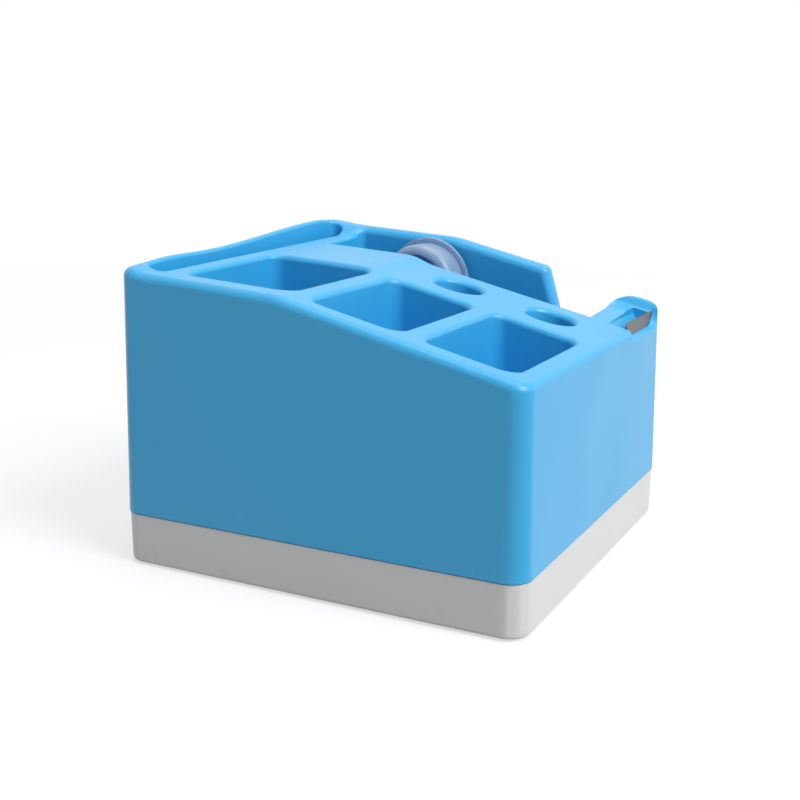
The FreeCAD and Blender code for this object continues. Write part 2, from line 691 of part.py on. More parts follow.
def troughTool():
    # Behind the blade: a sloped back and a level floor. Before it: a lip that falls to the front.
    body = makeBody("TroughTool")
    outline = makeSketch(body, "TroughOutline", "XZ_Plane", level=f"-{troughFarY}")
    lipX = f"({bladeX} + Sizes.bladeThickness)"
    lipZ = f"({troughDeckZ} - Sizes.frontLipDrop)"
    outX = f"({bodyFrontX} + 2)"
    fall = f"(({outX} - {lipX}) * tan(Sizes.frontLipSlope))"
    polygon(outline, [
        (troughX, skyLevel),
        (troughX, f"{troughDeckZ} + 1"),
        (f"{troughX} + Sizes.troughSlope", troughFloorZ),
        (lipX, troughFloorZ),
        (lipX, lipZ),
        (outX, f"{lipZ} - {fall}"),
        (outX, skyLevel),
    ])
    base = pad(body, outline, f"{troughFarY} - {troughNearY}", "TroughPad")
    doc.recompute()
    farY = value(troughFarY)
    backX = value(lipX)
    topZ = value(lipZ)

    def lipEnd(edge):
        point = middle(edge)
        return abs(point.y - farY) < 0.01 and point.x > backX + 0.1 and point.z < topZ

    rounding = body.newObject("PartDesign::Fillet", "TroughCorner")
    rounding.Base = (base, edgeNames(base.Shape, lipEnd))
    bind(rounding, {"Radius": "Sizes.frontLipRadius"})
    return body


def bladeSlit():
    return box(
        "BladeSlit", f"{bladeX} - Sizes.bladeFit", f"{troughNearY} - 0.5 + Sizes.bladeFit",
        f"{troughFloorZ} - Sizes.bladeRoot - Sizes.bladeFit",
        "Sizes.bladeThickness + 2 * Sizes.bladeFit",
        f"{troughFarY} - {troughNearY} + 1 - 2 * Sizes.bladeFit",
        "Sizes.bladeRoot + Sizes.bladeFit + 1")


def bossCentres():
    x = "(Sizes.bodyLength / 2 - Sizes.bossInset)"
    y = "(Sizes.bodyWidth / 2 - Sizes.bossInset)"
    return [(f"{signX} * {x}", f"{signY} * {y}") for signX in (-1, 1) for signY in (-1, 1)]


def hollowTool():
    # The space inside the shell: below the deck's wall, and outside all wells and bosses.
    wall = "Sizes.shellWall"
    core = taperedBlock(
        "HollowBlock", f"(Sizes.bodyLength - 2 * {wall})", f"(Sizes.bodyWidth - 2 * {wall})",
        f"(Sizes.cornerRadius - {wall})", bodyBottom, f"{skyLevel} - {bodyBottom}",
        "-Sizes.bodyDraft")
    topped = cut("HollowTopped", core, [aboveDeck("AboveHollow", value("Sizes.deckWall"))])
    inner = "Sizes.innerWall"
    keep = []
    for name, x, y, length, width, radius, floor in wells():
        keep.append(wellTool(
            name + "Wall", f"({x} - {inner})", f"({y} - {inner})", f"({length} + 2 * {inner})",
            f"({width} + 2 * {inner})", f"({radius} + {inner})", f"({floor} - {inner})"))
    low = f"({bodyBottom} + Sizes.penFloor - {inner})"
    for number, x in enumerate(penShifts, start=1):
        keep.append(penHole(f"PenWall{number}", x, f"Sizes.penRadius + {inner}", low))
    nearWall = f"({bayNearY} - {inner})"
    bayLow = f"({bayFloorZ} - {inner})"
    keep.append(box(
        "BayWall", f"{bayBackX} - {inner}", nearWall, bayLow,
        f"{bayFrontX} - {bayBackX} + 2 * {inner}", f"{bodyFarY} - {nearWall}",
        f"{skyLevel} - {bayLow}"))
    slotLow = f"({bodyBottom} + Sizes.slotFloor - {inner})"
    keep.append(box(
        "RibWall", bodyBackX, f"-{slotLength} / 2", slotLow, "Sizes.slotMargin + 0.5",
        slotLength, f"{skyLevel} - {slotLow}"))
    cutterLow = f"({troughFloorZ} - Sizes.bladeRoot - {inner})"
    keep.append(box(
        "CutterWall", bayFrontX, nearWall, cutterLow, "Sizes.bayFront",
        f"{bodyFarY} - {nearWall}", f"{skyLevel} - {cutterLow}"))
    tall = "Sizes.bossHeight - Sizes.plateThickness"
    for number, (x, y) in enumerate(bossCentres(), start=1):
        keep.append(cylinder(f"ScrewBoss{number}", x, y, plateTopZ, "Sizes.bossRadius", tall))
        lowY = bodyNearY if value(y) < 0 else y
        keep.append(box(
            f"BossRib{number}", f"{x} - {inner} / 2", lowY, plateTopZ, inner,
            "Sizes.bossInset", tall))
    return cut("HollowTool", topped, keep)


def bodyShell():
    housing = housingBay(housingWells(housingBlank()))
    pilots = []
    for number, (x, y) in enumerate(bossCentres(), start=1):
        pilots.append(cylinder(
            f"ScrewPilot{number}", x, y, bodyBottom, "Sizes.screwRadius + Sizes.screwFit",
            "Sizes.screwLength + 1"))
    carved = cut("HousingCarved", housing, [hollowTool(), troughTool(), bladeSlit()])
    saddled = doc.addObject("Part::MultiFuse", "HousingSaddled")
    saddled.Shapes = [carved] + saddles()
    shell = cut("BodyShell", saddled, pilots + saddleGrooves())
    shell.Label = "body_shell"
    return shell


# Base plate, screws and ballast.


def basePlate():
    body = makeBody("BasePlate")
    body.Label = "base_plate"
    around = "(Sizes.shellWall + Sizes.plateFit)"
    outline = makeSketch(body, "PlateOutline", "XY_Plane", level=bodyBottom)
    roundedRectangle(
        outline, f"(Sizes.bodyLength - 2 * {around})", f"(Sizes.bodyWidth - 2 * {around})",
        f"(Sizes.cornerRadius - {around})")
    pad(body, outline, "Sizes.plateThickness", "PlatePad")
    shanks = makeSketch(body, "PlateShankHoles", "XY_Plane", level=plateTopZ)
    heads = makeSketch(
        body, "PlateHeadSeats", "XY_Plane",
        level=f"{bodyBottom} + Sizes.screwHeadHeight")
    for x, y in bossCentres():
        circle(shanks, "Sizes.screwRadius + Sizes.screwFit", x, y)
        circle(heads, "Sizes.screwHeadRadius + Sizes.screwFit", x, y)
    pocket(body, shanks, "Sizes.plateThickness", "PlateShankPocket")
    pocket(body, heads, "Sizes.screwHeadHeight", "PlateHeadPocket")
    pegs = makeSketch(body, "PlatePegHoles", "XY_Plane", level=plateTopZ)
    for x in pegShifts():
        for side in (-1, 1):
            circle(pegs, "Sizes.pegRadius + Sizes.pegFit", x, f"{side} * {runnerMiddleY}")
    pocket(body, pegs, "Sizes.plateThickness", "PlatePegPocket")
    return body


def baseScrews():
    for number, (x, y) in enumerate(bossCentres(), start=1):
        name = f"BaseScrew{number}"
        body = makeBody(name)
        body.Label = f"base_screw_{number}"
        shank = makeSketch(body, name + "ShankOutline", "XY_Plane", level=bodyBottom)
        circle(shank, "Sizes.screwRadius", x, y)
        pad(body, shank, "Sizes.screwLength", name + "Shank")
        head = makeSketch(body, name + "HeadOutline", "XY_Plane", level=bodyBottom)
        circle(head, "Sizes.screwHeadRadius", x, y)
        pad(body, head, "Sizes.screwHeadHeight", name + "Head")


def ballastBlock():
    body = makeBody("BallastBlock")
    body.Label = "ballast_block"
    outline = makeSketch(
        body, "BallastOutline", "XY_Plane", x="0", y=f"{bayNearY} + Sizes.bayWidth / 2",
        level=plateTopZ)
    roundedRectangle(outline, "Sizes.ballastLength", "Sizes.ballastWidth", "2")
    pad(body, outline, "Sizes.ballastHeight", "BallastPad")


# Cutter blade.


def cutterBlade():
    body = makeBody("CutterBlade")
    body.Label = "cutter_blade"
    outline = makeSketch(body, "BladeOutline", "YZ_Plane", level=bladeX)
    nearY = value(f"{troughNearY} - 0.5 + 2 * Sizes.bladeFit")
    farY = value(f"{troughFarY} + 0.5 - 2 * Sizes.bladeFit")
    low = value(f"{troughFloorZ} - Sizes.bladeRoot")
    shoulder = value(f"{troughFloorZ}") - 0.5
    inset = 0.5 + value("2 * Sizes.bladeFit")
    tips = value(f"{bodyBottom} + Sizes.bladeTop")
    count = int((farY - nearY - 2 * inset) / value("Sizes.toothPitch"))
    pitch = (farY - nearY - 2 * inset) / count
    points = [Vector(nearY, low, 0), Vector(farY, low, 0), Vector(farY, shoulder, 0)]
    points.append(Vector(farY - inset, shoulder, 0))
    for tooth in range(count):
        rootY = farY - inset - tooth * pitch
        points.append(Vector(rootY, tips - value("Sizes.toothDepth"), 0))
        points.append(Vector(rootY - pitch / 2, tips, 0))
    points.append(Vector(nearY + inset, tips - value("Sizes.toothDepth"), 0))
    points.append(Vector(nearY + inset, shoulder, 0))
    points.append(Vector(nearY, shoulder, 0))
    for index, point in enumerate(points):
        following = points[(index + 1) % len(points)]
        outline.addGeometry(Part.LineSegment(point, following))
    for index in range(len(points)):
        following = (index + 1) % len(points)
        outline.addConstraint(Sketcher.Constraint("Coincident", index, 2, following, 1))
    pad(body, outline, "Sizes.bladeThickness", "BladePad")


# Tape spool.


def spoolAxle():
    body = makeBody("SpoolAxle")
    body.Label = "spool_axle"
    farEnd = f"({bayFarY} - Sizes.axleEndPlay)"
    core = makeSketch(body, "AxleOutline", "XZ_Plane", level=f"-{farEnd}")
    circle(core, "Sizes.axleRadius", axleX, axleZ)
    pad(body, core, "Sizes.bayWidth - 2 * Sizes.axleEndPlay", "AxlePad")
    spacerFar = f"({hubNearY} - Sizes.spoolPlay)"
    spacer = makeSketch(body, "SpacerOutline", "XZ_Plane", level=f"-{spacerFar}")
    circle(spacer, "Sizes.spacerRadius", axleX, axleZ)
    pad(body, spacer, f"{spacerFar} - {nearSaddleY} - Sizes.spacerPlay", "SpacerPad")


def spoolHub():
    # A thick cup turned about Y, open to the near side, with a rounded near end.
    body = makeBody("SpoolHub")
    body.Label = "spool_hub"
    profile = makeSketch(body, "HubProfile", "YZ_Plane", level=axleX)
    bore = f"{axleZ} + Sizes.axleRadius + Sizes.hubFit"
    barrel = f"{axleZ} + Sizes.barrelRadius"
    inside = f"{barrel} - Sizes.barrelWall"
    boss = f"{axleZ} + Sizes.hubBossRadius"
    web = f"{hubFarY} - Sizes.flangeThickness"
    polygon(profile, [
        (hubNearY, bore),
        (hubFarY, bore),
        (hubFarY, f"{axleZ} + Sizes.flangeRadius"),
        (web, f"{axleZ} + Sizes.flangeRadius"),
        (web, barrel),
        (hubNearY, barrel),
        (hubNearY, inside),
        (web, inside),
        (web, boss),
        (hubNearY, boss),
    ])
    axis = makeSketch(body, "HubAxis", "YZ_Plane", level=axleX)
    line = axis.addGeometry(Part.LineSegment(
        Vector(value(hubNearY), value(axleZ), 0), Vector(value(hubFarY), value(axleZ), 0)))
    axis.addConstraint(Sketcher.Constraint("Horizontal", line))
    drive(axis, "DistanceY", -1, 1, line, 1, axleZ)
    drive(axis, "DistanceX", -1, 1, line, 1, hubNearY)
    drive(axis, "DistanceX", -1, 1, line, 2, hubFarY)
    turned = body.newObject("PartDesign::Revolution", "HubTurned")
    turned.Profile = profile
    turned.ReferenceAxis = (axis, ["Edge1"])
    turned.Angle = 360
    doc.recompute()
    nearY = value(hubNearY)
    reach = value("2 * Sizes.barrelRadius")

    def noseEdge(edge):
        bounds = edge.BoundBox
        return abs(bounds.YMin - nearY) < 0.01 and bounds.YLength < 0.01 and bounds.ZLength > reach - 0.1

    nose = body.newObject("PartDesign::Fillet", "HubNose")
    nose.Base = (turned, edgeNames(turned.Shape, noseEdge))
    bind(nose, {"Radius": "Sizes.noseRadius"})
    doc.recompute()
    windows = makeSketch(body, "WindowOutline", "XZ_Plane", level=f"-({hubFarY})")
    ring = "((Sizes.barrelRadius - Sizes.barrelWall + Sizes.hubBossRadius) / 2)"
    for number in range(int(value("Sizes.windowCount"))):
        angle = f"({number} * 360 / Sizes.windowCount)"
        circle(windows, "Sizes.windowRadius", f"{axleX} + {ring} * cos({angle})",
               f"{axleZ} + {ring} * sin({angle})")
    pocket(body, windows, "Sizes.flangeThickness + 1", "WindowPocket", reverse=True)


# Sliding tray, its runners and feet.

runnerOuterY = f"({trayInnerWidth} / 2 - Sizes.ledgeReach - Sizes.runnerGap)"
runnerMiddleY = f"({runnerOuterY} - Sizes.runnerWeb / 2)"
runnerStartX = f"({runnerEndX} - {runnerLength})"


def pegShifts():
    return [f"({runnerStartX} + Sizes.pegInset)", f"({runnerEndX} - Sizes.pegInset)"]


def drawerTray():
    body = makeBody("DrawerTray")
    body.Label = "drawer_tray"
    outside = makeSketch(body, "TrayOutline", "XY_Plane", level=trayTopZ)
    roundedRectangle(outside, trayTopLength, trayTopWidth, "Sizes.cornerRadius")
    walls = pad(body, outside, "Sizes.trayHeight", "TrayPad", reverse=True)
    bind(walls, {"TaperAngle": "-Sizes.trayDraft"})
    inside = makeSketch(body, "TrayInside", "XY_Plane", level=trayTopZ)
    roundedRectangle(
        inside, trayInnerLength, trayInnerWidth, "(Sizes.cornerRadius - Sizes.trayWall)")
    hollow = pocket(body, inside, "Sizes.trayHeight - Sizes.trayFloor", "TrayHollow")
    bind(hollow, {"TaperAngle": "-Sizes.trayDraft"})
    ledges = makeSketch(body, "LedgeOutline", "XY_Plane", level=ledgeUnderZ)
    endX = f"({trayInnerLength} / 2 + 0.5)"
    for side in (-1, 1):
        inner = f"{side} * ({trayInnerWidth} / 2 - Sizes.ledgeReach)"
        outer = f"{side} * ({trayInnerWidth} / 2 + 0.5)"
        polygon(ledges, [(f"-{endX}", inner), (endX, inner), (endX, outer), (f"-{endX}", outer)])
    pad(body, ledges, "Sizes.ledgeThickness", "LedgePad")
    seats = makeSketch(
        body, "FootSeats", "XY_Plane",
        level="Sizes.footThickness")
    for x, y in footCentres():
        circle(seats, "Sizes.footRadius + Sizes.footFit", x, y)
    pocket(body, seats, "Sizes.footThickness - Sizes.footDrop", "FootSeatPocket")
    doc.recompute()
    low = value("Sizes.footDrop")
    half = value(trayTopLength + " / 2") - 3
    halfWidth = value(trayTopWidth + " / 2") - 3

    def lowerEdge(edge):
        bounds = edge.BoundBox
        point = middle(edge)
        outer = abs(point.x) > half or abs(point.y) > halfWidth
        return abs(bounds.ZMin - low) < 0.01 and bounds.ZLength < 0.01 and outer

    base = body.Tip
    names = edgeNames(base.Shape, lowerEdge)
    rounding = body.newObject("PartDesign::Fillet", "TrayLowerEdge")
    rounding.Base = (base, names)
    bind(rounding, {"Radius": "Sizes.trayFillet"})


def runner(label, side):
    # A hooked rail under the base plate. Its ends meet the tray's end walls at both stops.
    name = "Runner" + ("Near" if side < 0 else "Far")
    body = makeBody(name)
    body.Label = label
    outline = makeSketch(body, name + "Outline", "YZ_Plane", level=runnerStartX)
    innerY = f"({runnerOuterY} - Sizes.runnerWeb)"
    hookY = f"({runnerOuterY} + Sizes.runnerHook)"
    soleZ = f"({trayFloorZ} + Sizes.runnerGap)"
    hookTopZ = f"({ledgeUnderZ} - Sizes.runnerGap)"
    hookLowZ = f"({hookTopZ} - Sizes.runnerHookHeight)"
    web = [(innerY, soleZ), (runnerOuterY, soleZ), (runnerOuterY, bodyBottom), (innerY, bodyBottom)]
    hook = [(innerY, hookLowZ), (hookY, hookLowZ), (hookY, hookTopZ), (innerY, hookTopZ)]
    polygon(outline, [(f"{side} * {y}", z) for y, z in web])
    pad(body, outline, runnerLength, name + "Pad")
    hookStart = f"({runnerStartX} + Sizes.hookInset)"
    hookOutline = makeSketch(body, name + "HookOutline", "YZ_Plane", level=hookStart)
    polygon(hookOutline, [(f"{side} * {y}", z) for y, z in hook])
    pad(body, hookOutline, f"{runnerLength} - 2 * Sizes.hookInset", name + "Hook")
    pegs = makeSketch(body, name + "PegOutline", "XY_Plane", level=bodyBottom)
    for x in pegShifts():
        circle(pegs, "Sizes.pegRadius", x, f"{side} * {runnerMiddleY}")
    pad(body, pegs, "Sizes.plateThickness", name + "Pegs")


def footCentres():
    x = "(Sizes.bodyLength / 2 - Sizes.footInset)"
    y = "(Sizes.bodyWidth / 2 - Sizes.footInset)"
    return [(f"{signX} * {x}", f"{signY} * {y}") for signX in (-1, 1) for signY in (-1, 1)]


def rubberFeet():
    for number, (x, y) in enumerate(footCentres(), start=1):
        name = f"Foot{number}"
        body = makeBody(name)
        body.Label = f"foot_{number}"
        outline = makeSketch(body, name + "Outline", "XY_Plane")
        circle(outline, "Sizes.footRadius", x, y)
        pad(body, outline, "Sizes.footThickness", name + "Pad")
        doc.recompute()
        rim = edgeNames(body.Shape, lambda edge: middle(edge).z < 0.01)
        softened = body.newObject("PartDesign::Fillet", name + "Edge")
        softened.Base = (body.Group[-2], rim)
        bind(softened, {"Radius": "Sizes.edgeBreak"})


bodyShell()
basePlate()
baseScrews()
ballastBlock()
cutterBlade()
spoolAxle()
spoolHub()
drawerTray()
runner("runner_near", -1)
runner("runner_far", 1)
rubberFeet()
doc.recompute()

nodes = [
    "body_shell", "base_plate", "base_screw_1", "base_screw_2", "base_screw_3", "base_screw_4",
    "ballast_block", "cutter_blade", "spool_axle", "spool_hub", "drawer_tray", "runner_near",
    "runner_far", "foot_1", "foot_2", "foot_3", "foot_4",
]

for item in doc.Objects:
    if "Invalid" in item.State or "Error" in item.State:
        raise RuntimeError(f"{item.Name} didn't compute: {item.State}")

os.makedirs("parts", exist_ok=True)
for node in nodes:
    piece = doc.getObjectsByLabel(node)[0]
    if piece.Shape.isNull() or not piece.Shape.isValid() or not piece.Shape.Solids:
        raise RuntimeError(f"{node} isn't a valid solid")
    if len(piece.Shape.Solids) != 1:
        raise RuntimeError(f"{node} has {len(piece.Shape.Solids)} solids")
    piece.Shape.exportStep(f"parts/{node}.step")
    bounds = piece.Shape.BoundBox
    print(node, round(piece.Shape.Volume), len(piece.Shape.Faces),
          [round(number, 2) for number in (
              bounds.XMin, bounds.XMax, bounds.YMin, bounds.YMax, bounds.ZMin, bounds.ZMax)])
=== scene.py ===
import math
import bmesh
import bpy
from mathutils import Matrix, Vector


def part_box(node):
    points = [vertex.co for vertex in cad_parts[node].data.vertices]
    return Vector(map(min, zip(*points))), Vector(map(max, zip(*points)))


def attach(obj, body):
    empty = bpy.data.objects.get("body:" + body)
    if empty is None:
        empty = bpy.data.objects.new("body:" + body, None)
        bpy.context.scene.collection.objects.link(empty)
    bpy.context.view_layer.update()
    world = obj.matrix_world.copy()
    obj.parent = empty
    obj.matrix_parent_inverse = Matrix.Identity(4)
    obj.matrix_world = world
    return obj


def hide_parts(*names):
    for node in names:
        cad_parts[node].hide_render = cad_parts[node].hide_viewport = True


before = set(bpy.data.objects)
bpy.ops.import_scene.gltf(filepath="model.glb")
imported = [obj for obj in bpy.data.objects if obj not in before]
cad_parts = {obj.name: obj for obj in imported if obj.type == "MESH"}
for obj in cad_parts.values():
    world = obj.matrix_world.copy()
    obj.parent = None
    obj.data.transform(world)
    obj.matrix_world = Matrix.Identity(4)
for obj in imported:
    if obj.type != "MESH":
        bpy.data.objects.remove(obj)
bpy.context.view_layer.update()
print("frame loaded")


def addObject(name, data):
    item = bpy.data.objects.new(name, data)
    bpy.context.scene.collection.objects.link(item)
    return item


# shader groups that several finishes share

def newGroup(name, inputs, outputs):
    tree = bpy.data.node_groups.new(name, "ShaderNodeTree")
    for label, kind, default in inputs:
        entry = tree.interface.new_socket(label, in_out="INPUT", socket_type=kind)
        entry.default_value = default
    for label, kind in outputs:
        tree.interface.new_socket(label, in_out="OUTPUT", socket_type=kind)
    return tree, tree.nodes.new("NodeGroupInput"), tree.nodes.new("NodeGroupOutput")


def addNode(tree, kind, settings=None, values=None):
    node = tree.nodes.new(kind)
    for key, setting in (settings or {}).items():
        setattr(node, key, setting)
    for key, amount in (values or {}).items():
        node.inputs[key].default_value = amount
    return node


def mathNode(tree, operation, first, second=None, third=None):
    node = tree.nodes.new("ShaderNodeMath")
    node.operation = operation
    for place, source in enumerate((first, second, third)):
        if source is None:
            continue
        if isinstance(source, (int, float)):
            node.inputs[place].default_value = source
        else:
            tree.links.new(source, node.inputs[place])
    return node.outputs[0]


def makeMouldGrain():
    # fine spark texture of a moulded surface, with a slow waviness under it
    tree, given, result = newGroup("mouldGrain", [
        ("Grain Size", "NodeSocketFloat", 0.0006),
        ("Wave Size", "NodeSocketFloat", 0.02),
        ("Wave Share", "NodeSocketFloat", 0.3),
    ], [("Height", "NodeSocketFloat"), ("Mottle", "NodeSocketFloat")])
    place = addNode(tree, "ShaderNodeTexCoord")
    fine = addNode(tree, "ShaderNodeTexNoise", values={"Detail": 3.0, "Roughness": 0.55})
    slow = addNode(tree, "ShaderNodeTexNoise", values={"Detail": 1.0, "Roughness": 0.4})
    tree.links.new(place.outputs["Object"], fine.inputs["Vector"])
    tree.links.new(place.outputs["Object"], slow.inputs["Vector"])
    tree.links.new(mathNode(tree, "DIVIDE", 1.0, given.outputs["Grain Size"]), fine.inputs["Scale"])
    tree.links.new(mathNode(tree, "DIVIDE", 1.0, given.outputs["Wave Size"]), slow.inputs["Scale"])
    wave = mathNode(tree, "MULTIPLY", slow.outputs["Fac"], given.outputs["Wave Share"])
    tree.links.new(mathNode(tree, "ADD", fine.outputs["Fac"], wave), result.inputs["Height"])
    tree.links.new(slow.outputs["Fac"], result.inputs["Mottle"])
    return tree


def makeFootMarksAndBounce():
    # soft patches of a second colour that gather below a height; on the shell they are lighter, which is
    # painted floor-bounce light near its foot
    tree, given, result = newGroup("footMarksAndBounce", [
        ("Low", "NodeSocketFloat", 0.0),
        ("High", "NodeSocketFloat", 0.03),
        ("Amount", "NodeSocketFloat", 0.3),
    ], [("Mask", "NodeSocketFloat")])
    place = addNode(tree, "ShaderNodeTexCoord")
    split = addNode(tree, "ShaderNodeSeparateXYZ")
    patches = addNode(tree, "ShaderNodeTexNoise", values={"Scale": 140.0, "Detail": 4.0, "Roughness": 0.6})
    fade = addNode(tree, "ShaderNodeMapRange")
    cover = addNode(tree, "ShaderNodeMapRange", values={"From Min": 0.58, "From Max": 0.76})
    tree.links.new(place.outputs["Object"], split.inputs["Vector"])
    tree.links.new(place.outputs["Object"], patches.inputs["Vector"])
    tree.links.new(split.outputs["Z"], fade.inputs["Value"])
    tree.links.new(given.outputs["High"], fade.inputs["From Min"])
    tree.links.new(given.outputs["Low"], fade.inputs["From Max"])
    tree.links.new(patches.outputs["Fac"], cover.inputs["Value"])
    both = mathNode(tree, "MULTIPLY", fade.outputs["Result"], cover.outputs["Result"])
    tree.links.new(mathNode(tree, "MULTIPLY", both, given.outputs["Amount"]), result.inputs["Mask"])
    return tree


def makeBrushing():
    # long fine scratches along Y
    tree, given, result = newGroup("brushing", [
        ("Scale", "NodeSocketFloat", 1200.0),
        ("Stretch", "NodeSocketFloat", 0.02),
    ], [("Height", "NodeSocketFloat")])
    place = addNode(tree, "ShaderNodeTexCoord")
    squeeze = addNode(tree, "ShaderNodeCombineXYZ", values={"X": 1.0, "Z": 1.0})
    turned = addNode(tree, "ShaderNodeVectorMath", settings={"operation": "MULTIPLY"})
    lines = addNode(tree, "ShaderNodeTexNoise", values={"Detail": 2.0})
    tree.links.new(given.outputs["Stretch"], squeeze.inputs["Y"])
    tree.links.new(place.outputs["Object"], turned.inputs[0])
    tree.links.new(squeeze.outputs["Vector"], turned.inputs[1])
    tree.links.new(turned.outputs["Vector"], lines.inputs["Vector"])
    tree.links.new(given.outputs["Scale"], lines.inputs["Scale"])
    tree.links.new(lines.outputs["Fac"], result.inputs["Height"])
    return tree


mouldGrain = makeMouldGrain()
footMarksAndBounce = makeFootMarksAndBounce()
brushing = makeBrushing()


def newFinish(name, values):
    finish = bpy.data.materials.new(name)
    finish.use_nodes = True
    shader = finish.node_tree.nodes["Principled BSDF"]
    for label, amount in values.items():
        shader.inputs[label].default_value = amount
    return finish, finish.node_tree, shader


def useGroup(tree, group, values):
    node = tree.nodes.new("ShaderNodeGroup")
    node.node_tree = group
    for label, amount in values.items():
        node.inputs[label].default_value = amount
    return node


def mixColours(tree, first, second, share):
    # a colour between two, each a fixed colour or a socket
    mix = addNode(tree, "ShaderNodeMix", {"data_type": "RGBA"})
    for label, source in (("A", first), ("B", second)):
        if isinstance(source, tuple):
            mix.inputs[label].default_value = (*source, 1.0)
        else:
            tree.links.new(source, mix.inputs[label])
    tree.links.new(share, mix.inputs["Factor"])
    return mix.outputs["Result"]


def addBump(tree, shader, height, depth):
    bump = addNode(tree, "ShaderNodeBump", values={"Strength": 1.0, "Distance": depth})
    tree.links.new(height, bump.inputs["Height"])
    tree.links.new(bump.outputs["Normal"], shader.inputs["Normal"])


def mouldedPlastic(name, look):
    # a moulded part: slightly uneven colour and gloss, fine grain, and faint patches near its foot, which
    # on the shell are painted floor-bounce light
    finish, tree, shader = newFinish(name, {
        "Specular IOR Level": look["specular"],
        "Coat Weight": look["coat"],
        "Coat Roughness": look["coatRoughness"],
    })
    grain = useGroup(tree, mouldGrain, {
        "Grain Size": look["grainSize"], "Wave Size": look["waveSize"], "Wave Share": look["waveShare"]})
    marksAndBounce = useGroup(tree, footMarksAndBounce, {
        "Low": look["marksAndBounceLow"], "High": look["marksAndBounceHigh"], "Amount": look["marksAndBounceAmount"]})
    tones = mixColours(tree, look["colour"], look["deepColour"], grain.outputs["Mottle"])
    # mixes in the patch colour; on the shell this is painted floor-bounce light
    withMarksAndBounce = mixColours(tree, tones, look["markAndBounceColour"], marksAndBounce.outputs["Mask"])
    tree.links.new(withMarksAndBounce, shader.inputs["Base Color"])
    gloss = addNode(tree, "ShaderNodeMapRange", values={
        "To Min": look["roughness"] - look["glossier"], "To Max": look["roughness"] + look["duller"]})
    tree.links.new(grain.outputs["Mottle"], gloss.inputs["Value"])
    dulled = mathNode(
        tree, "MULTIPLY_ADD", marksAndBounce.outputs["Mask"], look["marksAndBounceDull"], gloss.outputs["Result"])
    tree.links.new(dulled, shader.inputs["Roughness"])
    addBump(tree, shader, grain.outputs["Height"], look["grainDepth"])
    return finish


# what the moulded finishes have in common
mouldedLook = {
    "coat": 0.0, "coatRoughness": 0.12, "glossier": 0.04, "duller": 0.06, "marksAndBounceDull": 0.3,
    "grainSize": 0.0005, "waveSize": 0.03, "waveShare": 0.4, "grainDepth": 0.00001,
    "roughness": 0.34, "specular": 0.5, "marksAndBounceLow": 0.0,
}
shellLook = {
    **mouldedLook,
    # the lighter patch colour and its band near the shell's foot are painted floor-bounce light
    "colour": (0.042, 0.435, 0.805), "deepColour": (0.035, 0.410, 0.775), "markAndBounceColour": (0.12, 0.50, 0.80),
    "coat": 0.04, "marksAndBounceLow": 0.015, "marksAndBounceHigh": 0.026, "marksAndBounceAmount": 0.3,
}
trayLook = {
    **mouldedLook,
    "colour": (0.725, 0.730, 0.725), "deepColour": (0.700, 0.706, 0.702), "markAndBounceColour": (0.45, 0.45, 0.44),
    "marksAndBounceHigh": 0.010, "marksAndBounceAmount": 0.25,
}
innerLook = {
    **mouldedLook,
    "colour": (0.60, 0.62, 0.63), "deepColour": (0.55, 0.57, 0.58), "markAndBounceColour": (0.35, 0.35, 0.35),
    "roughness": 0.5, "specular": 0.4, "grainSize": 0.0007, "waveSize": 0.02, "grainDepth": 0.00002,
    "marksAndBounceHigh": 0.012, "marksAndBounceAmount": 0.3,
}
axleLook = {
    **mouldedLook,
    "colour": (0.30, 0.36, 0.60), "deepColour": (0.27, 0.33, 0.56), "markAndBounceColour": (0.2, 0.22, 0.35),
    "roughness": 0.35, "waveSize": 0.01, "waveShare": 0.3, "marksAndBounceHigh": 0.01, "marksAndBounceAmount": 0.1,
}
shellPlastic = mouldedPlastic("shellPlastic", shellLook)
trayPlastic = mouldedPlastic("trayPlastic", trayLook)
innerPlastic = mouldedPlastic("innerPlastic", innerLook)
axlePlastic = mouldedPlastic("axlePlastic", axleLook)


hubLook = {
    "colour": (0.33, 0.50, 0.73), "rimColour": (0.47, 0.60, 0.78), "roughness": 0.24, "transmission": 0.4,
    "milk": 0.7, "milkDepth": 0.003, "ior": 1.45, "grainSize": 0.0008, "waveSize": 0.01,
    "waveShare": 0.8, "grainDepth": 0.000012,
}


def clearPlastic(name, look):
    # slightly see-through plastic, milky where it is thick
    finish, tree, shader = newFinish(name, {
        "Roughness": look["roughness"], "Transmission Weight": look["transmission"], "IOR": look["ior"],
        "Subsurface Weight": look["milk"], "Subsurface Radius": (1.0, 1.0, 1.0),
        "Subsurface Scale": look["milkDepth"],
    })
    grain = useGroup(tree, mouldGrain, {
        "Grain Size": look["grainSize"], "Wave Size": look["waveSize"], "Wave Share": look["waveShare"]})
    tones = mixColours(tree, look["colour"], look["rimColour"], grain.outputs["Mottle"])
    tree.links.new(tones, shader.inputs["Base Color"])
    addBump(tree, shader, grain.outputs["Height"], look["grainDepth"])
    return finish


hubPlastic = clearPlastic("hubPlastic", hubLook)


def steelFinish(name, look):
    finish, tree, shader = newFinish(name, {"Metallic": 1.0})
    scratches = useGroup(tree, brushing, {"Scale": look["scale"], "Stretch": look["stretch"]})
    marksAndBounce = useGroup(tree, footMarksAndBounce, {
        "Low": look["marksAndBounceLow"], "High": look["marksAndBounceHigh"], "Amount": look["marksAndBounceAmount"]})
    tones = mixColours(tree, look["dark"], look["light"], scratches.outputs["Height"])
    stained = mixColours(tree, tones, look["markAndBounceColour"], marksAndBounce.outputs["Mask"])
    tree.links.new(stained, shader.inputs["Base Color"])
    gloss = addNode(tree, "ShaderNodeMapRange", values={
        "To Min": look["roughness"] - look["glossier"], "To Max": look["roughness"] + look["duller"]})
    tree.links.new(scratches.outputs["Height"], gloss.inputs["Value"])
    tree.links.new(gloss.outputs["Result"], shader.inputs["Roughness"])
    addBump(tree, shader, scratches.outputs["Height"], look["depth"])
    return finish


